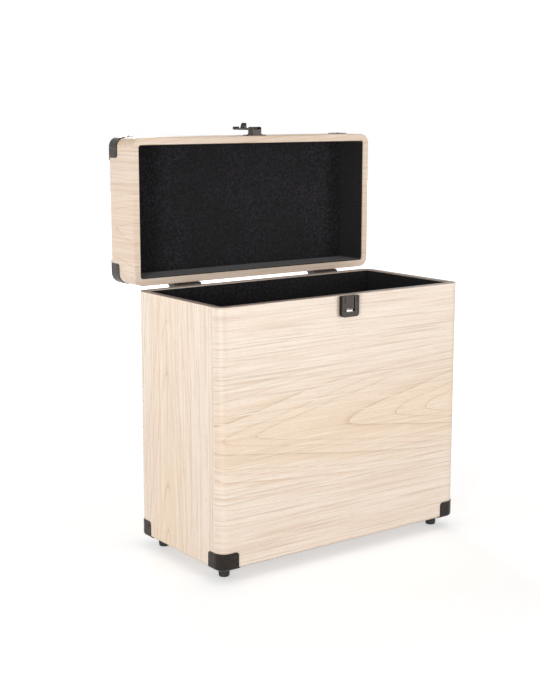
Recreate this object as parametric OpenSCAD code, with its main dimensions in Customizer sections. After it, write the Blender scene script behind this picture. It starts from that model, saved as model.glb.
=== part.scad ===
// Record carrying case: a deep wrapped-board body and a shallow lid on two stop hinges,
// held shut by a hasp and carried by a swinging handle on the lid.
// Every piece is drawn with the case shut, front face at y = 0 and underside at z = 0.
// The lid is then turned back to its open stop, the hasp folded back and the case
// centred over the floor, which is the pose of the finished model.

/* [Case] */
// Outside width, left to right
case_w = 370; // [320:1:420]
// Outside depth, front to back
case_d = 180; // [150:1:240]
// Height of the body from its underside to the parting line
body_h = 308; // [260:1:340]
// Height of the lid from the parting line to its top
lid_h = 57; // [45:1:90]
// Thickness of the wrapped boards
panel_t = 9; // [8:0.5:11]
// Radius of the upright outer edges
edge_r = 12.5; // [12:0.5:16]
// Rounding of the edges under the body and over the lid
edge_soft = 2.5; // [1:0.5:4]
// Rounding of the two edges of each rim
rim_soft = 1; // [0.5:0.25:2]
// Gap between the two rims when the lid is shut
rim_gap = 0.3; // [0.2:0.05:0.6]

/* [Lining] */
// Thickness of the lining
lining_t = 1; // [0.6:0.1:2]
// How far the lining stops short of the rim
lining_drop = 1.5; // [0.5:0.5:6]

/* [Corner protectors] */
// Reach of a protector along the horizontal edges
corner_leg = 25; // [23:0.5:28]
// How much further the flat lobe reaches than the side lobes
corner_more = 3; // [0:0.5:5]
// Reach of a protector along the upright edge
corner_rise = 20; // [18:0.5:26]
// Thickness of the pressed steel
corner_t = 1; // [0.8:0.1:1.4]
// Radius of the lobe outlines
corner_lobe_r = 4; // [2:0.5:6]
// Distance of the side nails from the case edge
nail_along = 19.5; // [18:0.5:21]
// Distance of the side nails from the underside or top
nail_up = 14.5; // [12:0.5:16]
// Distance of the nail in the flat lobe from both edges
nail_in = 12; // [11:0.5:13]
// Radius of the nail shank
nail_r = 0.7; // [0.5:0.1:1]
// Radius of the nail head
nail_head_r = 1.6; // [1.3:0.1:2]
// Height of the nail head
nail_head_h = 0.6; // [0.4:0.1:0.9]
// Depth of the nail in the board
nail_len = 6; // [4:0.5:7]

/* [Feet] */
// Height of a rubber foot
foot_h = 15; // [8:0.5:18]
// Radius of a foot where it meets the case
foot_top_r = 7.5; // [7:0.5:9]
// Radius of a foot where it meets the floor
foot_low_r = 6.4; // [5:0.2:8]
// Rounding of the lower rim of a foot
foot_soft_r = 1.5; // [0.5:0.25:2]
// Distance of a foot's centre from the side of the case
foot_in_x = 20; // [19:0.5:30]
// Distance of a foot's centre from the front or back of the case
foot_in_y = 23; // [20:0.5:30]
// Space left round a foot by the protector's flat lobe
foot_room = 1.5; // [0.5:0.25:3]
// Radius of the screw well in a foot
foot_well_r = 3.2; // [2.8:0.1:3.8]
// Thickness of rubber left above the screw well
foot_floor_t = 4; // [3:0.5:6]
// Radius of the foot screw's shank
foot_screw_r = 1.5; // [1:0.1:2]
// Depth of the foot screw in the board
foot_screw_len = 7; // [4:0.5:7.5]
// Radius of the foot screw's head
foot_head_r = 2.7; // [2.2:0.1:2.7]
// Height of the foot screw's head
foot_head_h = 1.6; // [1:0.1:2]

/* [Stop hinges] */
// Distance of each hinge from the middle of the case
hinge_x = 110; // [70:1:130]
// Width of a hinge
hinge_w = 40; // [34:1:60]
// Width of the middle knuckle
knuckle_w = 16; // [12:0.5:20]
// Height of each leaf
leaf_h = 28; // [24:1:40]
// Thickness of a leaf
leaf_t = 1.2; // [1:0.1:1.5]
// Radius of the hinge pin
hinge_pin_r = 1.5; // [1.2:0.1:1.6]
// Outside radius of a knuckle
knuckle_r = 2.6; // [2.4:0.1:3.2]
// Running clearance of a knuckle on its pin
pin_clear = 0.05; // [0.02:0.01:0.09]
// Clearance round a turning knuckle
hinge_clear = 0.3; // [0.25:0.05:0.5]
// Reach of the stop ears behind the pin
ear_out = 6; // [4:0.5:9]
// Height of the stop ears along the leaf
ear_h = 15; // [10:1:20]
// Gap left between the stop ears of the open lid
stop_gap = 0.1; // [0.05:0.05:0.3]
// Distance of the leaf screws from the pin
leaf_screw_z = 19; // [15:0.5:21]
// Spacing of the leaf screws
leaf_screw_gap = 12; // [9:0.5:13]
// Radius of the leaf screws
leaf_screw_r = 1.5; // [1:0.1:1.8]
// Radius of the leaf screw heads
leaf_head_r = 3; // [2.2:0.1:3.2]
// Height of the leaf screw heads
leaf_head_h = 1.4; // [0.8:0.1:2]
// Depth of the leaf screws in the board
leaf_screw_len = 6.5; // [4:0.5:7]

/* [Catch] */
// Width of the catch housing
catch_w = 26; // [23:0.5:32]
// Height of the catch housing
catch_h = 25.5; // [24:0.5:32]
// How far the catch stands out from the front
catch_out = 6; // [5.5:0.25:7]
// Distance from the body rim to the top of the catch
catch_drop = 1; // [0.5:0.5:3]
// Radius of the lower corners of the catch
catch_low_r = 4; // [2:0.5:6]
// Radius of the upper corners of the catch
catch_high_r = 1.2; // [0.8:0.1:2]
// Thickness of the catch sheet
catch_t = 1.1; // [0.8:0.1:1.4]
// Width of the sunk channel down the middle
channel_w = 12.5; // [12:0.5:15]
// Depth of the sunk channel
channel_deep = 1; // [0.6:0.1:1.4]
// Height of the slot at the foot of the channel
slot_h = 4.4; // [4:0.2:5]
// Width of the slot
slot_w = 11; // [10.5:0.5:11.5]
// Distance from the body rim to the lower edge of the slot
slot_drop = 20.5; // [18:0.5:22]
// Width of the bright keeper bar behind the slot
keeper_w = 9.6; // [9:0.2:10]
// Height of the keeper bar
keeper_h = 2.2; // [1.8:0.1:2.4]
// Thickness of the keeper bar
keeper_t = 0.8; // [0.6:0.1:1]
// Width of each pressed groove beside the channel
groove_w = 1.4; // [0.8:0.1:1.6]
// Length of each pressed groove
groove_h = 9; // [6:0.5:12]
// Depth of each pressed groove
groove_deep = 0.5; // [0.3:0.1:0.7]
// Distance of the grooves and catch rivets from the middle
groove_x = 9.4; // [9.2:0.1:10]

/* [Hasp] */
// Width of the hasp base plate
base_w = 30; // [26:0.5:36]
// Height of the hasp base plate
base_h = 12; // [12:0.5:16]
// Thickness of the hasp base plate and its ears
base_t = 1.2; // [1:0.1:1.5]
// Height of the pivot above the lid rim
pivot_up = 7; // [6.5:0.25:8]
// Distance of the pivot in front of the lid
pivot_out = 8.8; // [8.4:0.1:9.6]
// Radius of the pivot pin
pivot_r = 1.2; // [1:0.1:1.4]
// Outside radius of the hasp knuckle
hasp_knuckle_r = 2.4; // [2.1:0.1:2.6]
// Width of the hasp arm
hasp_w = 10; // [9:0.5:12]
// Length of the hasp arm from pivot to rolled tip
hasp_len = 42; // [36:1:50]
// Thickness of the hasp sheet
hasp_t = 1.2; // [1:0.1:1.4]
// Depth of the hasp's side flanges
flange_deep = 1.2; // [0.8:0.1:1.2]
// Narrowing of each side of the arm towards its tip
tip_taper = 1; // [0.5:0.25:2]
// Radius of the rolled tip
tip_r = 2; // [1.6:0.1:2.2]
// Thickness of the hook that enters the slot
hook_t = 1.5; // [1.2:0.1:1.6]
// Width of the hook at its end
hook_end_w = 6.4; // [5:0.2:7]

/* [Handle] */
// Distance of each handle bracket from the middle of the lid
bracket_x = 65; // [58:1:75]
// Height of the handle pivots above the lid
handle_up = 9; // [8.8:0.2:12]
// Distance from the pivots to the middle of the grip
handle_reach = 30; // [28:1:38]
// Outside radius of the bends in the steel bail
bail_bend_r = 15; // [12:0.5:18]
// Width of the steel bail
bail_w = 6; // [5:0.5:7]
// Thickness of the steel bail
bail_t = 5; // [4:0.5:6]
// Outside radius of the bail's eyes
eye_r = 4.2; // [3.6:0.1:4.6]
// Radius of the handle pins
handle_pin_r = 1.5; // [1.2:0.1:1.8]
// Length of the grip
grip_len = 92; // [80:1:100]
// Radius of the grip at its middle
grip_r = 7.5; // [6.5:0.25:8]
// How much thinner the grip is at its ends
grip_thin = 1.4; // [0.8:0.1:2]
// Number of finger ridges on the grip
grip_ridges = 5; // [3:1:8]
// Depth of the finger ridges
ridge_deep = 0.5; // [0.2:0.1:0.8]
// Length of a bracket plate
bracket_len = 32; // [28:1:40]
// Width of a bracket plate
bracket_w = 14; // [12:0.5:18]
// Thickness of the bracket steel
bracket_t = 1.5; // [1.2:0.1:1.6]
// Distance of the bracket rivets from the pivot
bracket_rivet_y = 11; // [9:0.5:12.5]

/* [Rivets and fits] */
// Radius of a rivet shank
rivet_r = 1.2; // [0.8:0.1:1.5]
// Radius of a rivet head
rivet_head_r = 2.2; // [1.8:0.1:2.5]
// Height of a rivet head
rivet_head_h = 0.9; // [0.5:0.1:1.2]
// Radius of the two small catch rivets
catch_rivet_r = 0.6; // [0.4:0.1:0.7]
// Radius of the small catch rivets' heads
catch_rivet_head_r = 1; // [0.8:0.1:1.1]
// Depth of the rivets in the board
rivet_len = 6; // [4:0.5:7]
// Play of a shank in its drilled hole
hole_clear = 0.02; // [0.01:0.01:0.05]
// Play of a moving piece beside a still one
side_clear = 0.3; // [0.25:0.05:0.5]

/* [Hidden] */
$fn = 64;
cut = 1;                                   // overshoot of a cutting solid
corner_ease = 0.5;                         // extra rounding of what fits inside the walls
lid_low = body_h + rim_gap;                // lid rim, lid shut
lid_top = lid_low + lid_h;
hinge_off = knuckle_r + hinge_clear;       // hinge axis behind the back face
hinge_y = case_d + hinge_off;
hinge_z = body_h + rim_gap / 2;
stop_shift = stop_gap / sqrt(2);
open_back = hinge_y + lid_h + rim_gap / 2; // lid top face, lid open
mid_y = (open_back + handle_up + grip_r - catch_out - catch_rivet_r) / 2;
catch_low = body_h - catch_drop - catch_h;
slot_low = body_h - slot_drop;
channel_top = body_h - catch_drop - catch_t;
keeper_front = catch_out - channel_deep - catch_t - side_clear;
hook_end = keeper_front - keeper_t - side_clear - keeper_t;
hasp_z = lid_low + pivot_up;
keeper_arc = norm([pivot_out - keeper_front, hasp_z - slot_low - keeper_h]);
slot_arc = norm([pivot_out - keeper_front - side_clear, hasp_z - slot_low - slot_h]);
hook_arc = (keeper_arc + slot_arc) / 2;    // the hook turns clear of keeper and slot
hasp_inner = pivot_out + hasp_knuckle_r / 4;
hasp_outer = hasp_inner + hasp_t;
base_low = (base_h + cut) / 2 - base_h / 2;
ear_gap = hasp_w / 2 + side_clear;
rest_wall = 2 * pivot_out - hasp_outer - side_clear;
eye_ear_gap = bail_w / 2 + side_clear;

// ---- placing ----

// The shut case, centred over the floor and lifted on its feet
module stand() { translate([0, -mid_y, foot_h]) children(); }

// A piece of the lid, turned back to the open stop
module on_lid() {
    stand() translate([0, hinge_y, hinge_z]) rotate([-90, 0, 0]) translate([0, -hinge_y, -hinge_z]) children();
}

// A piece of the hasp, folded back on the lid
module on_hasp() {
    on_lid() translate([0, -pivot_out, hasp_z]) rotate([-180, 0, 0]) translate([0, pivot_out, -hasp_z]) children();
}

// Drawing on the front face: x across, y up from height low, z out of the face
module on_front(low) { translate([0, 0, low]) rotate([90, 0, 0]) children(); }

// Drawing on the top of the lid: origin between the handle pivots, z up from the face
module on_top() { translate([0, case_d / 2, lid_top]) children(); }

module flip(axis, on) {
    if (on) mirror(axis) children();
    else children();
}

// A corner drawn at the origin of the first octant, moved to one of the case's corners
module to_corner(right, back, top) {
    translate([right ? case_w / 2 : -case_w / 2, back ? case_d : 0, top ? lid_top : 0])
        flip([1, 0, 0], right) flip([0, 1, 0], back) flip([0, 0, 1], top) children();
}

// ---- shared shapes ----

// Rectangle centred on x and standing on y = 0, with its own lower and upper corner radii
module soft_rect(w, h, low_r, high_r) {
    translate([-w / 2, low_r]) square([w, h - low_r - high_r]);
    translate([-w / 2 + low_r, 0]) square([w - 2 * low_r, h / 2]);
    translate([-w / 2 + high_r, h / 2]) square([w - 2 * high_r, h / 2]);
    for (side = [-1, 1]) {
        translate([side * (w / 2 - low_r), low_r]) circle(low_r);
        translate([side * (w / 2 - high_r), h - high_r]) circle(high_r);
    }
}

// Domed head above z = 0 with its shank going down
module fastener(shank_r, shank_len, head_r, head_h) {
    dome_r = (head_r * head_r + head_h * head_h) / (2 * head_h);
    intersection() {
        translate([0, 0, head_h - dome_r]) sphere(dome_r);
        cylinder(h = head_h, r = head_r);
    }
    translate([0, 0, -shank_len]) cylinder(h = shank_len, r = shank_r);
}

// The hole for a shank that goes down from z = 0, open at the top
module pilot(shank_r, shank_len) {
    translate([0, 0, -shank_len]) cylinder(h = shank_len + cut, r = shank_r + hole_clear);
}

// ---- boards ----

// Outline of what lies inside the walls, this far in from the outside of the case
module inside_outline(inset) {
    r = edge_r - inset + corner_ease;
    translate([0, inset]) soft_rect(case_w - 2 * inset, case_d - 2 * inset, r, r);
}

// Section of a wall board: x inward from its outer face, y from its outer edge to its rim
module board_section(h) {
    translate([edge_soft, 0]) square([panel_t - edge_soft, h - rim_soft]);
    translate([0, edge_soft]) square([panel_t, h - edge_soft - rim_soft]);
    translate([edge_soft, edge_soft]) circle(edge_soft);
    translate([rim_soft, h - 2 * rim_soft]) square([panel_t - 2 * rim_soft, 2 * rim_soft]);
    for (x = [rim_soft, panel_t - rim_soft]) translate([x, h - rim_soft]) circle(rim_soft);
}

// Half of a rounded corner, from the end of a wall's straight run to the mitre
module board_corner(h) {
    far = 2 * edge_r;
    intersection() {
        rotate_extrude() translate([edge_r, 0]) mirror([1, 0]) board_section(h);
        translate([0, 0, -cut]) linear_extrude(h + 2 * cut) polygon([[0, 0], [0, -far], [far, -far]]);
    }
}

// One wall of height h, turned from the front round to its own side of the case: a straight
// run and half of a rounded corner at each end
module wall_board(turn, h) {
    across = turn % 180 == 0 ? case_w : case_d;
    away = turn % 180 == 0 ? case_d : case_w;
    run = across - 2 * edge_r;
    translate([0, case_d / 2, 0]) rotate([0, 0, turn]) translate([0, -away / 2, 0]) {
        translate([-run / 2, 0, 0]) rotate([90, 0, 90]) linear_extrude(run) board_section(h);
        for (left = [false, true]) flip([1, 0, 0], left) translate([run / 2, edge_r, 0]) board_corner(h);
    }
}

module body_board(turn) {
    color("wheat") difference() {
        wall_board(turn, body_h);
        body_pilots();
    }
}

module lid_board(turn) {
    color("wheat") difference() {
        translate([0, 0, lid_top]) mirror([0, 0, 1]) wall_board(turn, lid_h);
        lid_pilots();
    }
}

module flat_board(low) { translate([0, 0, low]) linear_extrude(panel_t) inside_outline(panel_t); }

module body_front_panel() { stand() body_board(0); }
module body_right_panel() { stand() body_board(90); }
module body_back_panel() { stand() body_board(180); }
module body_left_panel() { stand() body_board(270); }
module body_bottom_panel() {
    color("wheat") stand() difference() {
        flat_board(0);
        body_pilots();
    }
}

module lid_front_panel() { on_lid() lid_board(0); }
module lid_right_panel() { on_lid() lid_board(90); }
module lid_back_panel() { on_lid() lid_board(180); }
module lid_left_panel() { on_lid() lid_board(270); }
module lid_top_panel() {
    color("wheat") on_lid() difference() {
        flat_board(lid_top - panel_t);
        lid_pilots();
    }
}

// Drilled holes in the body boards
module body_pilots() {
    for (right = [false, true]) for (back = [false, true]) {
        to_corner(right, back, false) corner_nail_places() pilot(nail_r, nail_len);
        to_corner(right, back, false) foot_place() pilot(foot_screw_r, foot_screw_len);
    }
    for (side = [-1, 1]) hinge_place(side) leaf_screw_places() pilot(leaf_screw_r, leaf_screw_len);
    catch_rivet_places() pilot(catch_rivet_r, catch_out + rivet_len);
}

// Drilled holes in the lid boards
module lid_pilots() {
    for (right = [false, true]) for (back = [false, true]) {
        to_corner(right, back, true) corner_nail_places() pilot(nail_r, nail_len);
    }
    for (side = [-1, 1]) {
        hinge_place(side) flip([0, 0, 1], true) leaf_screw_places() pilot(leaf_screw_r, leaf_screw_len);
        bracket_place(side) bracket_rivet_places() pilot(rivet_r, rivet_len);
    }
    hasp_rivet_places() pilot(rivet_r, rivet_len);
}

// ---- lining ----

module lining_band(low, high) {
    translate([0, 0, low]) linear_extrude(high - low) difference() {
        inside_outline(panel_t);
        inside_outline(panel_t + lining_t);
    }
}

module lining_sheet(low) { translate([0, 0, low]) linear_extrude(lining_t) inside_outline(panel_t); }

module body_wall_lining() {
    color("dimgray") stand() lining_band(panel_t + lining_t, body_h - lining_drop);
}
module body_floor_lining() { color("dimgray") stand() lining_sheet(panel_t); }
module lid_wall_lining() {
    color("dimgray") on_lid() lining_band(lid_low + lining_drop, lid_top - panel_t - lining_t);
}
module lid_top_lining() { color("dimgray") on_lid() lining_sheet(lid_top - panel_t - lining_t); }

// ---- corner protectors, drawn round the corner at the origin ----

// Upright prism with the case's rounded edge, grown by this much
module edge_prism(low, high, grow) {
    span = corner_leg + corner_more + edge_r;
    translate([0, 0, low]) linear_extrude(high - low) {
        translate([edge_r, edge_r]) circle(edge_r + grow);
        translate([edge_r, -grow]) square([span, span]);
        translate([-grow, edge_r]) square([span, span]);
    }
}

// The corner of the case with its rounded low edges, grown by this much, up to a height
module case_corner(grow, high) {
    span = corner_leg + corner_more + edge_r;
    fold = edge_soft + grow;
    edge_prism(edge_soft, high, grow);
    edge_prism(-grow, edge_soft + cut, -edge_soft);
    translate([edge_r, edge_soft, edge_soft]) rotate([0, 90, 0]) cylinder(h = span, r = fold);
    translate([edge_soft, edge_r, edge_soft]) rotate([-90, 0, 0]) cylinder(h = span, r = fold);
    translate([edge_r, edge_r, edge_soft]) rotate_extrude()
        translate([edge_r - edge_soft, 0]) circle(fold);
}

// Outline of a lobe seen square on: reach across, rise up, its far corner rounded
module lobe_outline(reach, rise) {
    r = corner_lobe_r;
    low = 2 * corner_t;
    translate([-low, -low]) square([reach + low - r, rise + low]);
    translate([-low, -low]) square([reach + low, rise + low - r]);
    translate([reach - r, rise - r]) circle(r);
}

// What the flat lobe leaves free round a foot and beyond it
module foot_gap() {
    r = foot_top_r + foot_room;
    far = 2 * corner_leg;
    translate([foot_in_x, foot_in_y]) {
        circle(r);
        translate([0, -r]) square([far, far]);
        translate([-r, 0]) square([far, far]);
    }
}

// A side lobe runs its full height, the flat lobe lies below the rounded fold
module corner_cap() {
    flat = corner_leg + corner_more;
    depth = 2 * flat;
    color([0.13, 0.13, 0.14]) difference() {
        intersection() {
            case_corner(corner_t, corner_rise);
            union() {
                intersection() {
                    translate([0, depth, 0]) rotate([90, 0, 0]) linear_extrude(2 * depth)
                        lobe_outline(corner_leg, corner_rise);
                    translate([-depth, 0, 0]) rotate([90, 0, 90]) linear_extrude(2 * depth)
                        lobe_outline(corner_leg, corner_rise);
                }
                translate([0, 0, -corner_t]) linear_extrude(corner_t) lobe_outline(flat, flat);
            }
        }
        case_corner(0, corner_rise + cut);
        translate([0, 0, -2 * corner_t]) linear_extrude(2 * corner_t) foot_gap();
        corner_nail_places() pilot(nail_r, nail_len);
    }
}

// The three nails of a protector: z of each points out of the case, z = 0 on the protector
module corner_nail_places() {
    translate([nail_along, -corner_t, nail_up]) rotate([90, 0, 0]) children();
    translate([-corner_t, nail_along, nail_up]) rotate([0, -90, 0]) children();
    translate([nail_in, nail_in, -corner_t]) rotate([180, 0, 0]) children();
}

module corner_nails(top) {
    color([0.2, 0.2, 0.21]) for (right = [false, true]) for (back = [false, true])
        to_corner(right, back, top) corner_nail_places()
            fastener(nail_r, nail_len, nail_head_r, nail_head_h);
}

module body_front_left_corner() { stand() to_corner(false, false, false) corner_cap(); }
module body_front_right_corner() { stand() to_corner(true, false, false) corner_cap(); }
module body_back_left_corner() { stand() to_corner(false, true, false) corner_cap(); }
module body_back_right_corner() { stand() to_corner(true, true, false) corner_cap(); }
module body_corner_nails() { stand() corner_nails(false); }
module lid_front_left_corner() { on_lid() to_corner(false, false, true) corner_cap(); }
module lid_front_right_corner() { on_lid() to_corner(true, false, true) corner_cap(); }
module lid_back_left_corner() { on_lid() to_corner(false, true, true) corner_cap(); }
module lid_back_right_corner() { on_lid() to_corner(true, true, true) corner_cap(); }
module lid_corner_nails() { on_lid() corner_nails(true); }

// ---- feet ----

// Middle of a foot, z pointing down out of the underside
module foot_place() { translate([foot_in_x, foot_in_y, 0]) rotate([180, 0, 0]) children(); }

module foot() {
    steps = 6;
    arc_x = foot_low_r - foot_soft_r;
    arc_y = foot_h - foot_soft_r;
    rim = [for (i = [0 : steps]) let (a = 90 * i / steps)
        [arc_x + foot_soft_r * cos(a), arc_y + foot_soft_r * sin(a)]];
    color([0.1, 0.1, 0.1]) difference() {
        rotate_extrude() polygon(concat([[0, 0], [foot_top_r, 0]], rim, [[0, foot_h]]));
        translate([0, 0, foot_floor_t]) cylinder(h = foot_h, r = foot_well_r);
        translate([0, 0, -cut]) cylinder(h = foot_h, r = foot_screw_r + hole_clear);
    }
}

module front_left_foot() { stand() to_corner(false, false, false) foot_place() foot(); }
module front_right_foot() { stand() to_corner(true, false, false) foot_place() foot(); }
module back_left_foot() { stand() to_corner(false, true, false) foot_place() foot(); }
module back_right_foot() { stand() to_corner(true, true, false) foot_place() foot(); }

module foot_screws() {
    color("silver") stand() for (right = [false, true]) for (back = [false, true])
        to_corner(right, back, false) foot_place() translate([0, 0, foot_floor_t])
            fastener(foot_screw_r, foot_floor_t + foot_screw_len, foot_head_r, foot_head_h);
}

// ---- stop hinges: origin on the pin, x along it, y out of the back, z up the lid ----

module hinge_place(side) { translate([side * hinge_x, hinge_y, hinge_z]) children(); }

module along_pin(r, w) { rotate([0, 90, 0]) cylinder(h = w, r = r, center = true); }

// Screws of the leaf below the pin
module leaf_screw_places() {
    for (i = [-1 : 1]) translate([i * leaf_screw_gap, leaf_t - hinge_off, -leaf_screw_z])
        rotate([-90, 0, 0]) children();
}

// Stop ear at one end of the leaf below the pin
module stop_ear(side) {
    outline = [[-hinge_off, 0], [0, -stop_shift], [ear_out, -ear_out - stop_shift], [-hinge_off, -ear_h]];
    translate([side > 0 ? hinge_w / 2 - leaf_t : -hinge_w / 2, 0, 0])
        rotate([90, 0, 90]) linear_extrude(leaf_t) polygon(outline);
}

module leaf_blank() {
    translate([-hinge_w / 2, -hinge_off, -leaf_h]) cube([hinge_w, leaf_t, leaf_h]);
    stop_ear(-1);
    stop_ear(1);
}

// Leaf below the pin, with the two outer knuckles
module outer_leaf() {
    gap_w = knuckle_w + 2 * hinge_clear;
    color([0.16, 0.16, 0.17]) difference() {
        union() {
            leaf_blank();
            along_pin(knuckle_r, hinge_w);
        }
        along_pin(hinge_pin_r + pin_clear, hinge_w + cut);
        translate([-gap_w / 2, -hinge_off - cut, -hinge_off]) cube([gap_w, 2 * hinge_off + cut, 2 * hinge_off]);
        leaf_screw_places() pilot(leaf_screw_r, leaf_t + cut);
    }
}

// Leaf above the pin, with the middle knuckle
module inner_leaf() {
    side_w = (hinge_w - knuckle_w) / 2;
    color([0.16, 0.16, 0.17]) difference() {
        union() {
            flip([0, 0, 1], true) leaf_blank();
            along_pin(knuckle_r, knuckle_w);
        }
        along_pin(hinge_pin_r + pin_clear, hinge_w + cut);
        for (side = [-1, 1]) translate([side * (knuckle_w + side_w + cut) / 2, 0, 0]) {
            along_pin(hinge_off, side_w + cut);
            translate([-(side_w + cut) / 2, -hinge_off - cut, -hinge_off])
                cube([side_w + cut, leaf_t + cut, 2 * hinge_off]);
        }
        flip([0, 0, 1], true) leaf_screw_places() pilot(leaf_screw_r, leaf_t + cut);
    }
}

module hinge_pin() { color("silver") along_pin(hinge_pin_r, hinge_w); }

module left_hinge_body_leaf() { stand() hinge_place(-1) outer_leaf(); }
module right_hinge_body_leaf() { stand() hinge_place(1) outer_leaf(); }
module left_hinge_pin() { stand() hinge_place(-1) hinge_pin(); }
module right_hinge_pin() { stand() hinge_place(1) hinge_pin(); }
module left_hinge_lid_leaf() { on_lid() hinge_place(-1) inner_leaf(); }
module right_hinge_lid_leaf() { on_lid() hinge_place(1) inner_leaf(); }

module leaf_screw() { fastener(leaf_screw_r, leaf_screw_len, leaf_head_r, leaf_head_h); }
module hinge_body_screws() {
    color([0.2, 0.2, 0.2]) stand() for (side = [-1, 1]) hinge_place(side) leaf_screw_places() leaf_screw();
}
module hinge_lid_screws() {
    color([0.2, 0.2, 0.2]) on_lid() for (side = [-1, 1])
        hinge_place(side) flip([0, 0, 1], true) leaf_screw_places() leaf_screw();
}

// ---- catch on the front of the body ----

module catch_channel(grow, low, high) {
    w = channel_w + 2 * grow;
    translate([0, slot_low - catch_low - grow, low]) linear_extrude(high - low)
        soft_rect(w, channel_top - slot_low + 2 * grow, catch_high_r + grow, catch_high_r + grow);
}

module catch_housing() {
    floor_z = catch_out - channel_deep;
    color([0.12, 0.12, 0.13]) stand() difference() {
        on_front(catch_low) difference() {
            union() {
                difference() {
                    linear_extrude(catch_out) soft_rect(catch_w, catch_h, catch_low_r, catch_high_r);
                    translate([0, catch_t, -cut]) linear_extrude(catch_out - catch_t + cut)
                        soft_rect(catch_w - 2 * catch_t, catch_h - 2 * catch_t, catch_low_r - catch_t, cut / 2);
                }
                catch_channel(0, floor_z - catch_t, floor_z);
            }
            catch_channel(0, floor_z, catch_out + cut);
            translate([-slot_w / 2, slot_low - catch_low, -cut]) cube([slot_w, slot_h, catch_out + 2 * cut]);
            for (side = [-1, 1]) translate([side * groove_x - groove_w / 2, catch_h - groove_h, catch_out - groove_deep])
                cube([groove_w, groove_h - catch_t, catch_out]);
        }
        catch_rivet_places() pilot(catch_rivet_r, catch_out);
    }
}

// Spring steel bar behind the slot, its two feet on the board
module catch_keeper() {
    color("silver") stand() on_front(slot_low) {
        translate([-keeper_w / 2, 0, keeper_front - keeper_t]) cube([keeper_w, keeper_h, keeper_t]);
        for (side = [-1, 1]) translate([side * (keeper_w - keeper_t) / 2 - keeper_t / 2, 0, 0])
            cube([keeper_t, keeper_h, keeper_front]);
    }
}

module catch_rivet_places() {
    for (side = [-1, 1]) on_front(slot_low) translate([side * groove_x, slot_h / 2, catch_out]) children();
}
module catch_rivets() {
    color([0.2, 0.2, 0.2]) stand() catch_rivet_places()
        fastener(catch_rivet_r, catch_out + rivet_len, catch_rivet_head_r, catch_rivet_r);
}

// ---- hasp on the front of the lid ----

module hasp_rivet_places() {
    for (side = [-1, 1]) on_front(lid_low)
        translate([side * (base_w / 2 + ear_gap + base_t) / 2, pivot_up, base_t]) children();
}
module hasp_rivets() {
    color([0.2, 0.2, 0.2]) on_lid() hasp_rivet_places()
        fastener(rivet_r, rivet_len, rivet_head_r, rivet_head_h);
}

// Base plate with two ears for the pin, a low wall in front and a rest for the folded arm
module hasp_base() {
    ear_len = base_h - 2 * base_low;
    ear_top = pivot_out + hasp_knuckle_r;
    box_low = pivot_up - ear_len / 2;
    color([0.12, 0.12, 0.13]) on_lid() on_front(lid_low) difference() {
        union() {
            translate([0, pivot_up - base_h / 2, 0]) linear_extrude(base_t)
                soft_rect(base_w, base_h, hasp_knuckle_r, hasp_knuckle_r);
            for (side = [-1, 1]) translate([side * (ear_gap + base_t / 2) - base_t / 2, pivot_up, 0])
                rotate([90, 0, 90]) linear_extrude(base_t)
                    soft_rect(ear_len, ear_top, base_t, hasp_knuckle_r);
            translate([-ear_gap, box_low, 0]) cube([2 * ear_gap, base_t, hasp_inner - flange_deep - side_clear]);
            translate([-ear_gap, box_low + ear_len - base_t, 0]) cube([2 * ear_gap, base_t, rest_wall]);
        }
        translate([0, pivot_up, pivot_out]) along_pin(pivot_r + hole_clear, base_w);
        on_front_holes() pilot(rivet_r, base_t + cut);
    }
}

// The rivet holes in the plate's own drawing plane
module on_front_holes() {
    for (side = [-1, 1]) translate([side * (base_w / 2 + ear_gap + base_t) / 2, pivot_up, base_t]) children();
}

module hasp_pin() {
    span = ear_gap + base_t;
    color("silver") on_lid() on_front(lid_low) translate([0, pivot_up, pivot_out])
        for (side = [-1, 1]) rotate([0, side * 90, 0]) translate([0, 0, span])
            fastener(pivot_r, span, hasp_knuckle_r - side_clear, rivet_head_h);
}

// The arm, drawn hanging down over the catch
module hasp_arm() {
    half = hasp_w / 2;
    tip_half = half - tip_taper;
    taper_y = -hasp_len * 5 / 6;
    flange_top = -hasp_knuckle_r - side_clear;
    color([0.12, 0.12, 0.13]) on_hasp() on_front(hasp_z) difference() {
        union() {
            translate([0, 0, hasp_inner]) linear_extrude(hasp_t) polygon([
                [-half, 0], [half, 0], [half, taper_y], [tip_half, -hasp_len],
                [-tip_half, -hasp_len], [-half, taper_y]]);
            for (side = [-1, 1]) translate([side * (half - hasp_t / 2) - hasp_t / 2, taper_y, hasp_inner - flange_deep])
                cube([hasp_t, flange_top - taper_y, flange_deep]);
            translate([0, 0, pivot_out]) along_pin(hasp_knuckle_r, hasp_w);
            translate([0, -hasp_len, hasp_outer - tip_r]) along_pin(tip_r, 2 * tip_half);
            hasp_hook();
        }
        translate([0, 0, pivot_out]) along_pin(pivot_r + pin_clear, hasp_w + cut);
    }
}

// Tapered hook on the inside of the arm, curved about the pivot so that it turns into the slot
module hasp_hook() {
    half = hasp_w / 2;
    intersection() {
        translate([0, 0, pivot_out]) difference() {
            along_pin(hook_arc + hook_t / 2, hasp_w);
            along_pin(hook_arc - hook_t / 2, hasp_w + cut);
        }
        rotate([90, 0, 0]) linear_extrude(hook_arc + hook_t) polygon([
            [-half, hasp_inner], [half, hasp_inner], [hook_end_w / 2, hook_end], [-hook_end_w / 2, hook_end]]);
    }
}

// ---- handle on the top of the lid, drawn lying back ----

module bracket_place(side) { on_top() translate([side * bracket_x, 0, 0]) children(); }

module bracket_rivet_places() {
    for (end = [-1, 1]) translate([0, end * bracket_rivet_y, bracket_t]) children();
}

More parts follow.
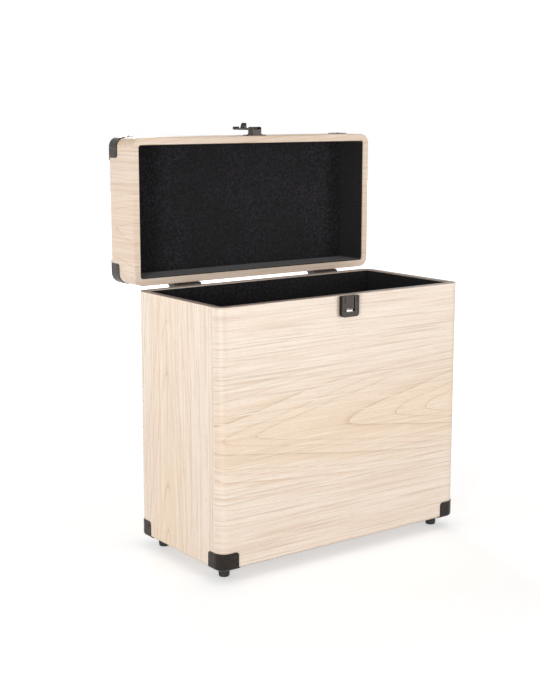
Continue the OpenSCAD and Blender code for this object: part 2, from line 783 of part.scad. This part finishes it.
module handle_bracket() {
    color([0.14, 0.14, 0.15]) difference() {
        union() {
            translate([0, -bracket_len / 2, 0]) linear_extrude(bracket_t)
                soft_rect(bracket_w, bracket_len, bracket_w / 2 - cut, bracket_w / 2 - cut);
            for (side = [-1, 1]) translate([side * (eye_ear_gap + bracket_t / 2) - bracket_t / 2, 0, 0])
                rotate([90, 0, 90]) linear_extrude(bracket_t) {
                    translate([0, handle_up]) circle(eye_r);
                    translate([-eye_r, 0]) square([2 * eye_r, handle_up]);
                }
        }
        translate([0, 0, handle_up]) along_pin(handle_pin_r + hole_clear, bracket_w + cut);
        bracket_rivet_places() pilot(rivet_r, bracket_t + cut);
    }
}

module left_handle_bracket() { on_lid() bracket_place(-1) handle_bracket(); }
module right_handle_bracket() { on_lid() bracket_place(1) handle_bracket(); }

module handle_rivets() {
    color([0.2, 0.2, 0.2]) on_lid() for (side = [-1, 1]) bracket_place(side) bracket_rivet_places()
        fastener(rivet_r, rivet_len, rivet_head_r, rivet_head_h);
}

module handle_pin() {
    span = eye_ear_gap + bracket_t;
    color("silver") translate([0, 0, handle_up]) for (side = [-1, 1])
        rotate([0, side * 90, 0]) translate([0, 0, span])
            fastener(handle_pin_r, span, rivet_head_r + side_clear, rivet_head_h);
}

module left_handle_pin() { on_lid() bracket_place(-1) handle_pin(); }
module right_handle_pin() { on_lid() bracket_place(1) handle_pin(); }

// Flat steel bail with a round eye at each end
module handle_bail() {
    mid_r = bail_bend_r - bail_w / 2;
    bend_x = bracket_x - mid_r;
    bend_y = handle_reach - mid_r;
    color([0.14, 0.14, 0.15]) on_lid() on_top() difference() {
        union() {
            translate([0, 0, handle_up - bail_t / 2]) linear_extrude(bail_t) {
                translate([-bend_x, handle_reach - bail_w / 2]) square([2 * bend_x, bail_w]);
                for (side = [-1, 1]) flip([1, 0, 0], side < 0) {
                    translate([bracket_x - bail_w / 2, 0]) square([bail_w, bend_y]);
                    intersection() {
                        translate([bend_x, bend_y]) difference() {
                            circle(bail_bend_r);
                            circle(bail_bend_r - bail_w);
                        }
                        translate([bend_x, bend_y]) square(bail_bend_r);
                    }
                }
            }
            for (side = [-1, 1]) translate([side * bracket_x, 0, handle_up]) along_pin(eye_r, bail_w);
        }
        for (side = [-1, 1]) translate([side * bracket_x, 0, handle_up])
            along_pin(handle_pin_r + pin_clear, bail_w + cut);
    }
}

// Radius of the grip at a share s of its length from -1 to 1
function grip_radius(s) = grip_r - ridge_deep - grip_thin * s * s
    + ridge_deep * cos(180 * (grip_ridges + 1) * s) * (1 - s * s);

module handle_grip() {
    steps = 12 * grip_ridges;
    outline = [for (i = [-steps / 2 : steps / 2]) let (s = 2 * i / steps) [grip_radius(s), s * grip_len / 2]];
    color([0.1, 0.1, 0.1]) on_lid() on_top() translate([0, handle_reach, handle_up]) difference() {
        rotate([0, 90, 0]) rotate_extrude()
            polygon(concat([[0, -grip_len / 2]], outline, [[0, grip_len / 2]]));
        cube([grip_len + cut, bail_w, bail_t], center = true);
    }
}

// ---- output ----

body_front_panel();
body_back_panel();
body_left_panel();
body_right_panel();
body_bottom_panel();
body_wall_lining();
body_floor_lining();
lid_front_panel();
lid_back_panel();
lid_left_panel();
lid_right_panel();
lid_top_panel();
lid_wall_lining();
lid_top_lining();
front_left_foot();
front_right_foot();
back_left_foot();
back_right_foot();
foot_screws();
body_front_left_corner();
body_front_right_corner();
body_back_left_corner();
body_back_right_corner();
body_corner_nails();
lid_front_left_corner();
lid_front_right_corner();
lid_back_left_corner();
lid_back_right_corner();
lid_corner_nails();
left_hinge_body_leaf();
right_hinge_body_leaf();
left_hinge_pin();
right_hinge_pin();
left_hinge_lid_leaf();
right_hinge_lid_leaf();
hinge_body_screws();
hinge_lid_screws();
catch_housing();
catch_keeper();
catch_rivets();
hasp_base();
hasp_rivets();
hasp_pin();
hasp_arm();
left_handle_bracket();
right_handle_bracket();
handle_rivets();
left_handle_pin();
right_handle_pin();
handle_bail();
handle_grip();
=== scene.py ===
"""Looks of the record carrying case: procedural materials, floor, light and camera."""

import math

import bpy
from mathutils import Matrix, Vector


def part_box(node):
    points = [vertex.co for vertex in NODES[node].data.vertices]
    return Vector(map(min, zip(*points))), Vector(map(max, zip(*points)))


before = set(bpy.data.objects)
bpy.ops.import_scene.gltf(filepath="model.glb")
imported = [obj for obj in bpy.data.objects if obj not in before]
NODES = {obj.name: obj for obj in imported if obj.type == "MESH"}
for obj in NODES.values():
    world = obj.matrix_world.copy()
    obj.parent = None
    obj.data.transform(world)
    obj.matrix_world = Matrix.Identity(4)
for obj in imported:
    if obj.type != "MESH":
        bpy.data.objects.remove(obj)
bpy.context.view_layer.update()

MM = 0.001

# ---- places in the row frame, in metres; the lid stands open behind the body ----

FRONT_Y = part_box("body_front_panel")[0].y
BACK_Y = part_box("body_back_panel")[1].y
UNDER_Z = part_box("body_bottom_panel")[0].z
BODY_RIM_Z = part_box("body_front_panel")[1].z
LID_RIM_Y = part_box("lid_front_panel")[0].y
LID_TOP_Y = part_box("lid_front_panel")[1].y
LID_FRONT_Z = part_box("lid_front_panel")[1].z
LID_BACK_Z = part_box("lid_back_panel")[0].z
EDGE_R = 12.5 * MM           # radius of the upright outer edges


# ---- node helpers ----

class Net:
    """A few short words for building a node tree. A value is a number, a colour or a socket."""

    def __init__(self, tree):
        self.tree = tree

    def add(self, kind, **settings):
        node = self.tree.nodes.new(kind)
        for key, value in settings.items():
            setattr(node, key, value)
        return node

    def put(self, socket, value):
        if isinstance(value, bpy.types.NodeSocket):
            self.tree.links.new(value, socket)
        else:
            socket.default_value = value

    def math(self, op, a, b=0.0, c=None):
        node = self.add("ShaderNodeMath", operation=op)
        self.put(node.inputs[0], a)
        self.put(node.inputs[1], b)
        if c is not None:
            self.put(node.inputs[2], c)
        return node.outputs[0]

    def plus(self, a, b):
        return self.math("ADD", a, b)

    def minus(self, a, b):
        return self.math("SUBTRACT", a, b)

    def times(self, product, *factors):
        for factor in factors:
            product = self.math("MULTIPLY", product, factor)
        return product

    def vector(self, x=0.0, y=0.0, z=0.0):
        node = self.add("ShaderNodeCombineXYZ")
        for socket, value in zip(node.inputs, (x, y, z)):
            self.put(socket, value)
        return node.outputs[0]

    def coord(self):
        """The place on the surface in the row frame at rest."""
        return self.add("ShaderNodeTexCoord").outputs["Object"]

    def place(self):
        """The same as x, y and z."""
        split = self.add("ShaderNodeSeparateXYZ")
        self.put(split.inputs[0], self.coord())
        return tuple(split.outputs)

    def noise(self, at, scale=1.0, detail=2.0, rough=0.5):
        node = self.add("ShaderNodeTexNoise", noise_dimensions="3D")
        self.put(node.inputs["Vector"], at)
        node.inputs["Scale"].default_value = scale
        node.inputs["Detail"].default_value = detail
        node.inputs["Roughness"].default_value = rough
        return node.outputs["Fac"]

    def between(self, value, low, high, to_low=0.0, to_high=1.0):
        """value from low..high to to_low..to_high, smoothly and clamped."""
        node = self.add("ShaderNodeMapRange", interpolation_type="SMOOTHSTEP")
        for socket, given in zip(node.inputs, (value, low, high, to_low, to_high)):
            self.put(socket, given)
        return node.outputs[0]

    def mix(self, factor, a, b):
        """Colour a where factor is 0, b where it is 1."""
        node = self.add("ShaderNodeMix", data_type="RGBA")
        self.put(node.inputs[0], factor)
        self.put(node.inputs[6], a)
        self.put(node.inputs[7], b)
        return node.outputs[2]

    def pick(self, factor, a, b):
        """Number a where factor is 0, b where it is 1."""
        node = self.add("ShaderNodeMix", data_type="FLOAT")
        self.put(node.inputs[0], factor)
        self.put(node.inputs[2], a)
        self.put(node.inputs[3], b)
        return node.outputs[0]

    def bump(self, height, strength, distance):
        node = self.add("ShaderNodeBump")
        self.put(node.inputs["Height"], height)
        node.inputs["Strength"].default_value = strength
        node.inputs["Distance"].default_value = distance
        return node.outputs["Normal"]


def material(name, **sockets):
    """A new material with its Principled shader's constants set."""
    mat = bpy.data.materials.new(name)
    mat.use_nodes = True
    shader = mat.node_tree.nodes["Principled BSDF"]
    for key, value in sockets.items():
        shader.inputs[key.replace("_", " ")].default_value = value
    return mat, Net(mat.node_tree), shader


def connect(net, shader, color, normal, roughness=None):
    """Link what varies over the surface to the shader."""
    net.put(shader.inputs["Base Color"], color)
    net.put(shader.inputs["Normal"], normal)
    if roughness is not None:
        net.put(shader.inputs["Roughness"], roughness)


def dress(mat, *names):
    """Give nodes a material in place of the plain one they come with."""
    for name in names:
        NODES[name].data.materials.clear()
        NODES[name].data.materials.append(mat)


def nodes_ending(*ends):
    return [name for name in NODES if name.endswith(ends)]


def srgb(r, g, b):
    """Linear colour of an 8-bit screen colour."""
    parts = [c / 255 for c in (r, g, b)]
    linear = tuple(c / 12.92 if c < 0.04045 else ((c + 0.055) / 1.055) ** 2.4 for c in parts)
    return linear + (1.0,)


# ---- the wood-grain film's pattern ----

LIGHT_WOOD = srgb(247, 233, 218)
PALE_WOOD = srgb(238, 220, 203)
WARM_WOOD = srgb(238, 211, 181)
MID_WOOD = srgb(224, 199, 173)
LINE_WOOD = srgb(203, 164, 124)
PORE_WOOD = srgb(203, 176, 150)

# The rings are level lines of a height that falls off on both sides of the film's middle, so
# that they show as nested flames near it and as nearly straight lines further out.
FLAME_TIP = 7 * MM           # rounding of a flame's tip
FLAME_FALL = 6.8             # fall of the height per metre off the middle
FLAME_LEAN = 1.5             # what one side falls less and the other more
FAR_OFF = 45 * MM            # from here out the height falls faster
FAR_FALL = 230.0             # by this, times the square of the metres past FAR_OFF
PATTERN_START = 50 * MM
RINGS = 11.5                 # rings per metre of height
RING_START = 2.19
CROWDING = 0.35              # how far the rings crowd together and thin out, in rings
CROWDING_RATE = 24.2         # radians per metre of height
CROWDING_START = 160 * MM
LATE_PART = 0.30             # part of a ring that its darker side takes
LINE_PART = 0.09             # and the line at its end
CALM_FROM, CALM_TO = 40 * MM, 110 * MM     # off the middle, where the rings grow fainter
CALM_LEFT = 0.4              # what is left of them further out
WARM_FROM, WARM_TO = 10 * MM, 70 * MM      # off the middle, where its warm tone ends
SHEET_STEP = 3.7             # how far noises and height move on from one sheet to the next

# noises drawn out along the grain: features per metre along and across it, detail, roughness
WANDER = (3.0, 6.0)
WANDER_SIZE = 12 * MM        # how far the film's middle wanders
WAVER = (9.0, 60.0)
WAVER_SIZE = 35 * MM         # how much the height wavers
PATCHES = (9.0, 40.0)
BROAD_TONE = (1.6, 26.0, 3.0, 0.55)
STREAKS = (5.0, 240.0, 3.0, 0.6)
DARK_GRAIN = (4.5, 430.0, 2.0, 0.55)
PALE_GRAIN = (9.0, 620.0, 2.0, 0.6)
PORES = (60.0, 1300.0, 1.0, 0.5)
FLECKS = (330.0, 800.0)

DARK_SHARE = 0.52            # share of the pore colour in the dark grain
DARK_SHARE_IN_HEART = 0.30   # and in the film's middle, where flames show instead


class FilmNet(Net):
    """The nodes inside the film's group, with the coordinates that they share."""

    def __init__(self, tree):
        super().__init__(tree)
        self.along, self.across, sheet = self.add("NodeGroupInput").outputs[:3]
        self.shift = self.times(sheet, SHEET_STEP)

    def grain(self, long, wide, detail=2.0, rough=0.5):
        """Noise with long and wide features per metre along and across the grain."""
        at = self.vector(self.times(self.along, long), self.times(self.across, wide), self.shift)
        return self.noise(at, 1.0, detail, rough)

    def swing(self, grain, size):
        """Noise about 0 instead of a half."""
        return self.times(self.minus(self.grain(*grain), 0.5), size)

    def rings(self):
        """How far through its ring each place lies, and its distance off the middle."""
        side = self.plus(self.across, self.swing(WANDER, WANDER_SIZE))
        off = self.math("ABSOLUTE", side)
        far = self.math("MAXIMUM", self.minus(off, FAR_OFF), 0.0)
        ridge = self.math("SQRT", self.math("MULTIPLY_ADD", side, side, FLAME_TIP ** 2))
        height = self.minus(self.along, self.times(ridge, FLAME_FALL))
        height = self.math("MULTIPLY_ADD", side, FLAME_LEAN, height)
        height = self.minus(height, self.times(far, far, FAR_FALL))
        height = self.plus(height, self.swing(WAVER, WAVER_SIZE))
        height = self.plus(height, self.plus(self.shift, PATTERN_START))
        beat = self.math("SINE", self.times(self.plus(height, CROWDING_START), CROWDING_RATE))
        turn = self.math("MULTIPLY_ADD", height, RINGS, RING_START)
        turn = self.plus(turn, self.times(beat, CROWDING))
        return self.math("FRACT", turn), off

    def ring_layers(self):
        """Each ring darkens towards one side and ends there in a thin line that comes and goes.
        The mask that goes with the layers is 1 in the film's middle."""
        part, off = self.rings()
        rest = self.minus(1.0, part)
        calm = self.between(off, CALM_FROM, CALM_TO, 1.0, CALM_LEFT)
        patchy = self.between(self.grain(*PATCHES), 0.30, 0.55, 0.55, 1.0)
        early = self.between(part, 0.1, 1.0)
        late = self.between(rest, 0.0, LATE_PART, 1.0, 0.0)
        line = self.between(rest, 0.0, LINE_PART, 1.0, 0.0)
        layers = [(self.times(early, calm, 0.30), WARM_WOOD),
                  (self.times(late, calm, 0.55), MID_WOOD),
                  (self.times(line, calm, self.times(patchy, 0.65)), LINE_WOOD)]
        return layers, self.between(off, WARM_FROM, WARM_TO, 1.0, 0.0)

    def look(self):
        """The film's colour and the height of its surface. A layer is a mask and its colour, and
        the last number in a mask is the colour's greatest share."""
        dark = self.grain(*DARK_GRAIN)
        pale = self.grain(*PALE_GRAIN)
        ring_layers, heart = self.ring_layers()
        dark_share = self.math("MULTIPLY_ADD", heart, DARK_SHARE_IN_HEART - DARK_SHARE, DARK_SHARE)
        layers = [(self.times(heart, 0.6), WARM_WOOD),
                  (self.times(self.between(self.grain(*STREAKS), 0.42, 0.70), 0.55), MID_WOOD),
                  *ring_layers,
                  (self.between(dark, 0.52, 0.66, 0.0, dark_share), PORE_WOOD),
                  (self.between(pale, 0.54, 0.66, 0.0, 0.85), LIGHT_WOOD),
                  (self.between(self.grain(*PORES), 0.58, 0.74, 0.0, 0.35), PORE_WOOD),
                  (self.between(self.grain(*FLECKS), 0.52, 0.72, 0.0, 0.25), PORE_WOOD)]
        color = self.mix(self.between(self.grain(*BROAD_TONE), 0.3, 0.72), LIGHT_WOOD, PALE_WOOD)
        for mask, paint in layers:
            color = self.mix(mask, color, paint)
        sunk = self.times(self.between(dark, 0.5, 0.75), 0.5)
        return color, self.minus(self.times(pale, 0.7), sunk)


def film_group():
    """The film as a node group: flat-sawn grain by metres along and across a numbered sheet."""
    tree = bpy.data.node_groups.new("wood film", "ShaderNodeTree")
    for name in ("Along", "Across", "Sheet"):
        tree.interface.new_socket(name, in_out="INPUT", socket_type="NodeSocketFloat")
    tree.interface.new_socket("Color", in_out="OUTPUT", socket_type="NodeSocketColor")
    tree.interface.new_socket("Height", in_out="OUTPUT", socket_type="NodeSocketFloat")
    net = FilmNet(tree)
    out = net.add("NodeGroupOutput")
    for socket, value in zip(out.inputs, net.look()):
        net.put(socket, value)
    return tree


FILM = film_group()


# ---- the film on the boards ----

SEAM_WOOD = srgb(196, 174, 152)
LID_TONE_AND_SHADE = srgb(192, 156, 122)     # the lid's film is drawn a little browner and darker: partly its own browner tone, partly painted shade
# painted shade: the top of the body's rim, drawn darker brown-grey as if it got less light
RIM_SHADE = srgb(168, 149, 137)
# painted shade of the film's folds at the boards' edges
FOLD_SHADE = srgb(176, 153, 134)

SEAM_WIDTH = 0.4 * MM        # half the width of the seam where the film of two boards meets
SEAM_SHARE = 0.30
LID_SHARE = 0.3
SIDE_MIDDLE = 112 * MM       # how far behind the front the flames of the sides are centred
LID_SIDE_START = 310 * MM    # the lid's side film starts about where the body's ends
LID_MIDDLE = 50 * MM
LID_MIDDLE_STEP = 20 * MM    # how far the flames move from one sheet of the lid to the next

# heights above the underside at which the flames are centred
FRONT_MIDDLE = 152 * MM
BACK_MIDDLE = 120 * MM
UNDER_MIDDLE = 50 * MM

# the numbers of the sheets of film; the lid's sides carry on the pattern of the body's sides
FRONT, BACK, LEFT, RIGHT, UNDER, LID_FRONT, LID_BACK, LID_TOP = map(float, range(8))


def film_at(net, along, across, sheet):
    """The film's colour and height at a place on one of its sheets."""
    node = net.add("ShaderNodeGroup", node_tree=FILM)
    for socket, value in zip(node.inputs, (along, across, sheet)):
        net.put(socket, value)
    return node.outputs[0], node.outputs[1]


def wood(name, walls, sides, marks):
    """A film-covered board. walls gives the place on the film that runs round the upright
    edges. sides gives the place on a side board's own film, with masks of where the walls' film
    comes round its edges and of the seam there; other boards have none."""
    mat, net, shader = material(name, Roughness=0.42, Specular_IOR_Level=0.7)
    x, y, z = net.place()
    color, height = film_at(net, *walls(net, x, y, z))
    if sides:
        side_place, wrapped, seam = sides(net, y, z)
        side_color, side_height = film_at(net, *side_place)
        color = net.mix(wrapped, side_color, color)
        height = net.pick(wrapped, side_height, height)
        color = net.mix(net.times(seam, SEAM_SHARE), color, SEAM_WOOD)
    for mask, paint in marks(net, y, z):
        color = net.mix(mask, color, paint)
    connect(net, shader, color, net.bump(height, 0.25, 0.12 * MM))
    return mat


def from_edge(net, depth, span):
    """Distance from the nearer end of depth 0..span."""
    return net.math("MINIMUM", depth, net.minus(span, depth))


def round_edges(net, x, depth, span):
    """x carried on round the rounded edges at both ends of depth 0..span."""
    gone = net.math("MINIMUM", from_edge(net, depth, span), EDGE_R)
    return net.plus(x, net.times(net.math("SIGN", x), gone))


def wrap_masks(net, depth, span):
    """1 within the rounded edge at either end of depth 0..span, and 1 on the seam beside it."""
    near = from_edge(net, depth, span)
    off = net.math("ABSOLUTE", net.minus(near, EDGE_R))
    return net.math("LESS_THAN", near, EDGE_R), net.between(off, 0.0, SEAM_WIDTH, 1.0, 0.0)


def body_walls(sheet, middle):
    """Film along the front, back or underside, its flames centred at the height middle."""
    def at(net, x, y, z):
        along = round_edges(net, x, net.minus(y, FRONT_Y), BACK_Y - FRONT_Y)
        return along, net.minus(z, UNDER_Z + middle), sheet
    return at


def body_sides(sheet):
    """Film running up a side of the body."""
    def at(net, y, z):
        depth = net.minus(y, FRONT_Y)
        place = (net.times(z, -1.0), net.minus(depth, SIDE_MIDDLE), sheet)
        return place, *wrap_masks(net, depth, BACK_Y - FRONT_Y)
    return at


def lid_walls(sheet):
    """Film along the front, top or back of the lid, seen open."""
    def at(net, x, y, z):
        depth = net.minus(LID_FRONT_Z, z)
        along = round_edges(net, x, depth, LID_FRONT_Z - LID_BACK_Z)
        round_top = net.plus(net.minus(y, LID_RIM_Y), depth)
        return along, net.plus(round_top, LID_MIDDLE - LID_MIDDLE_STEP * sheet), sheet
    return at


def lid_sides(sheet):
    """Film running from the rim to the top of a side of the lid."""
    def at(net, y, z):
        depth = net.minus(LID_FRONT_Z, z)
        along = net.minus(net.times(net.minus(y, LID_RIM_Y), -1.0), LID_SIDE_START)
        place = (along, net.minus(depth, SIDE_MIDDLE), sheet)
        return place, *wrap_masks(net, depth, LID_FRONT_Z - LID_BACK_Z)
    return at


def body_marks(net, y, z):
    """Painted shade on the wrapped rim, drawn in a brown-grey, and painted shade of the fold under the
    body and of the underside.
    """
    # painted shade on the rim's top
    rim_shade = net.between(net.minus(BODY_RIM_Z, z), 0.3 * MM, 0.9 * MM, 1.0, 0.0)
    # painted shade of the fold under the body; it covers the whole underside too
    fold_shade = net.between(net.minus(z, UNDER_Z), 0.2 * MM, 2.6 * MM, 0.75, 0.0)
    return [(rim_shade, RIM_SHADE), (fold_shade, FOLD_SHADE)]


def lid_marks(net, y, z):
    """The lid's browner and darker tone, partly painted shade, and the painted shade of the fold round
    its top and of the top itself.
    """
    # painted shade of the fold round the lid's top; it covers the whole top too
    fold_shade = net.between(net.minus(LID_TOP_Y, y), 0.2 * MM, 2.2 * MM, 0.5, 0.0)
    return [(LID_SHARE, LID_TONE_AND_SHADE), (fold_shade, FOLD_SHADE)]


def dress_boards():
    front = body_walls(FRONT, FRONT_MIDDLE)
    back = body_walls(BACK, BACK_MIDDLE)
    under = body_walls(UNDER, UNDER_MIDDLE)
    lid_front = lid_walls(LID_FRONT)
    dress(wood("front film", front, None, body_marks), "body_front_panel")
    dress(wood("left film", front, body_sides(LEFT), body_marks), "body_left_panel")
    dress(wood("right film", front, body_sides(RIGHT), body_marks), "body_right_panel")
    dress(wood("back film", back, None, body_marks), "body_back_panel")
    dress(wood("under film", under, None, body_marks), "body_bottom_panel")
    dress(wood("lid front film", lid_front, None, lid_marks), "lid_front_panel")
    dress(wood("lid left film", lid_front, lid_sides(LEFT), lid_marks), "lid_left_panel")
    dress(wood("lid right film", lid_front, lid_sides(RIGHT), lid_marks), "lid_right_panel")
    dress(wood("lid back film", lid_walls(LID_BACK), None, lid_marks), "lid_back_panel")
    dress(wood("lid top film", lid_walls(LID_TOP), None, lid_marks), "lid_top_panel")


# ---- the other materials; noise scales are features per metre ----

FELT_BLACK, FELT_FLECK, FELT_CLOUD = srgb(7, 6, 8), srgb(50, 46, 51), srgb(14, 12, 15)
CORNER_BLACKS = srgb(20, 17, 15), srgb(36, 31, 28)
HARDWARE_BLACKS = srgb(9, 8, 8), srgb(18, 16, 16)
FASTENER_BLACKS = srgb(24, 22, 22), srgb(40, 37, 36)
RUBBER_BLACK, RUBBER_DUST = srgb(24, 24, 25), srgb(44, 43, 43)
STEEL_DARK, STEEL_LIGHT = srgb(150, 150, 148), srgb(205, 204, 200)
GRIP_BLACK, GRIP_WORN = srgb(26, 26, 27), srgb(38, 37, 37)
WARM_GLOSS = (1.0, 0.88, 0.8, 1.0)     # tint of what the lacquer mirrors


def felt():
    """Short black nap with lighter flecks and broad clouds."""
    mat, net, shader = material("felt", Roughness=0.95, Sheen_Weight=0.25, Sheen_Roughness=0.5,
                                Specular_IOR_Level=0.2)
    coord = net.coord()
    nap = net.noise(coord, 480.0, 3.0, 0.75)
    cloud = net.noise(coord, 9.0, 3.0)
    color = net.mix(net.between(nap, 0.42, 0.66), FELT_BLACK, FELT_FLECK)
    color = net.mix(net.between(cloud, 0.35, 0.65, 0.0, 0.55), color, FELT_CLOUD)
    connect(net, shader, color, net.bump(nap, 0.6, 0.6 * MM))
    return mat


def lacquer(name, blacks, rough):
    """Black-painted steel: a fine orange peel, with clouds in its colour and gloss."""
    mat, net, shader = material(name, Specular_IOR_Level=0.34, Specular_Tint=WARM_GLOSS)
    coord = net.coord()
    peel = net.noise(coord, 1500.0, 2.0)
    cloud = net.noise(coord, 160.0, 3.0, 0.6)
    color = net.mix(net.between(cloud, 0.3, 0.75), *blacks)
    roughness = net.between(cloud, 0.2, 0.8, rough - 0.06, rough + 0.08)
    connect(net, shader, color, net.bump(peel, 0.12, 0.12 * MM), roughness)
    return mat


def rubber():
    """Gritty black rubber with a little dust."""
    mat, net, shader = material("foot rubber")
    coord = net.coord()
    grit = net.noise(coord, 2200.0, 3.0, 0.7)
    dust = net.noise(coord, 240.0, 3.0, 0.6)
    color = net.mix(net.between(dust, 0.45, 0.8), RUBBER_BLACK, RUBBER_DUST)
    roughness = net.between(dust, 0.2, 0.8, 0.5, 0.68)
    connect(net, shader, color, net.bump(grit, 0.2, 0.2 * MM), roughness)
    return mat


def bright_steel():
    """Bare steel, brushed along x."""
    mat, net, shader = material("keeper steel", Metallic=1.0)
    x, y, z = net.place()
    along, across = 300.0, 4000.0
    at = net.vector(net.times(x, along), net.times(y, across), net.times(z, across))
    brush = net.noise(at)
    color = net.mix(brush, STEEL_DARK, STEEL_LIGHT)
    roughness = net.between(brush, 0.2, 0.8, 0.22, 0.38)
    connect(net, shader, color, net.bump(brush, 0.08, 0.1 * MM), roughness)
    return mat


def grip_plastic():
    """Moulded black plastic with a leather grain."""
    mat, net, shader = material("grip plastic")
    coord = net.coord()
    cells = net.add("ShaderNodeTexVoronoi", feature="DISTANCE_TO_EDGE")
    net.put(cells.inputs["Vector"], coord)
    net.put(cells.inputs["Scale"], 1100.0)
    leather = net.between(cells.outputs["Distance"], 0.0, 0.25)
    cloud = net.noise(coord, 120.0, 2.0)
    color = net.mix(net.between(cloud, 0.3, 0.7), GRIP_BLACK, GRIP_WORN)
    roughness = net.between(leather, 0.0, 1.0, 0.62, 0.48)
    connect(net, shader, color, net.bump(leather, 0.35, 0.2 * MM), roughness)
    return mat


def dress_the_rest():
    dress(felt(), *nodes_ending("_lining"))
    dress(lacquer("corner steel", CORNER_BLACKS, 0.22), *nodes_ending("_corner"))
    dress(lacquer("hardware steel", HARDWARE_BLACKS, 0.3), "catch_housing", "hasp_base",
          "hasp_arm", "handle_bail", *nodes_ending("_bracket", "_leaf"))
    dress(lacquer("fastener steel", FASTENER_BLACKS, 0.25),
          *nodes_ending("_nails", "_rivets", "_screws", "_pin"))
    dress(rubber(), *nodes_ending("_foot"))
    dress(bright_steel(), "catch_keeper")
    dress(grip_plastic(), "handle_grip")


# ---- floor, light and camera ----

FLOOR_HALF = 6.0
FLOOR_Z = -0.2 * MM
FLOOR_GREY = (0.9, 0.9, 0.9, 1.0)
WHITE = (1.0, 1.0, 1.0, 1.0)
GLOW_START = 0.3             # the floor's glow grows from here
WHITE_START = 1.3            # to full white here, in metres from the middle
NEAR_GLOW = 0.45
SKY_LIGHT = 0.38             # strength of the world as a lamp
SKY_SEEN = 1.0               # and as it is seen, directly or mirrored

# name, place, what it is aimed at, width and height, watts
LAMPS = [
    ("near strip", (-2.08, -1.56, 0.38), (0.0, 0.0, 0.15), (0.4, 0.72), 27.0),
    ("right strip", (1.3, -2.25, 0.36), (0.0, 0.0, 0.15), (0.5, 0.68), 17.5),
    ("left strip", (-1.9, 1.77, 0.50), (0.0, 0.0, 0.2), (0.5, 0.9), 11.5),
    ("back strip", (0.9, 2.4, 0.9), (0.0, 0.0, 0.2), (0.6, 1.3), 19.5),
    ("top", (0.1, -0.2, 2.7), (0.0, 0.0, 0.2), (1.2, 1.2), 3.5),
]

CAMERA_PLACE = (-0.9799, -1.3069, 0.54394)
CAMERA_DOWN = 10.66          # degrees below the horizon
CAMERA_TURN = -36.20         # degrees about z
CAMERA_LENS = 66.79


def seen_directly(net):
    """1 for what the camera sees directly, mirrored or through glass."""
    path = net.add("ShaderNodeLightPath")
    seen = net.math("MAXIMUM", path.outputs["Is Camera Ray"], path.outputs["Is Glossy Ray"])
    return net.math("MAXIMUM", seen, path.outputs["Is Transmission Ray"])


def floor_material():
    """Pale floor that keeps the shadow near the case and glows to white further off."""
    mat = bpy.data.materials.new("floor")
    mat.use_nodes = True
    mat.node_tree.nodes.clear()
    net = Net(mat.node_tree)
    x, y, z = net.place()
    away = net.math("SQRT", net.plus(net.times(x, x), net.times(y, y)))
    glow_at = net.between(away, GLOW_START, WHITE_START, NEAR_GLOW, 1.0)
    diffuse = net.add("ShaderNodeBsdfDiffuse")
    net.put(diffuse.inputs["Color"], FLOOR_GREY)
    glow = net.add("ShaderNodeEmission")
    net.put(glow.inputs["Color"], WHITE)
    net.put(glow.inputs["Strength"], net.times(seen_directly(net), glow_at))
    both = net.add("ShaderNodeAddShader")
    net.put(both.inputs[0], diffuse.outputs[0])
    net.put(both.inputs[1], glow.outputs[0])
    net.put(net.add("ShaderNodeOutputMaterial").inputs["Surface"], both.outputs[0])
    return mat


def floor():
    mesh = bpy.data.meshes.new("floor")
    signs = ((-1, -1), (1, -1), (1, 1), (-1, 1))
    mesh.from_pydata([(a * FLOOR_HALF, b * FLOOR_HALF, FLOOR_Z) for a, b in signs], [], [(0, 1, 2, 3)])
    mesh.materials.append(floor_material())
    obj = bpy.data.objects.new("floor", mesh)
    bpy.context.scene.collection.objects.link(obj)


def sky():
    world = bpy.data.worlds.new("studio")
    bpy.context.scene.world = world
    world.use_nodes = True
    net = Net(world.node_tree)
    back = world.node_tree.nodes["Background"]
    net.put(back.inputs["Color"], WHITE)
    net.put(back.inputs["Strength"], net.between(seen_directly(net), 0.0, 1.0, SKY_LIGHT, SKY_SEEN))


def softbox(name, place, target, size, watts):
    light = bpy.data.lights.new(name, "AREA")
    light.shape = "RECTANGLE"
    light.size, light.size_y = size
    light.energy = watts
    obj = bpy.data.objects.new(name, light)
    aim = (Vector(target) - Vector(place)).to_track_quat("-Z", "Y")
    obj.matrix_world = Matrix.Translation(place) @ aim.to_matrix().to_4x4()
    bpy.context.scene.collection.objects.link(obj)


def camera():
    data = bpy.data.cameras.new("camera")
    data.lens = CAMERA_LENS
    obj = bpy.data.objects.new("camera", data)
    obj.location = CAMERA_PLACE
    obj.rotation_euler = (math.radians(90 - CAMERA_DOWN), 0.0, math.radians(CAMERA_TURN))
    bpy.context.scene.collection.objects.link(obj)
    bpy.context.scene.camera = obj


dress_boards()
dress_the_rest()
floor()
sky()
for lamp in LAMPS:
    softbox(*lamp)
camera()
bpy.context.scene.view_settings.view_transform = "Standard"
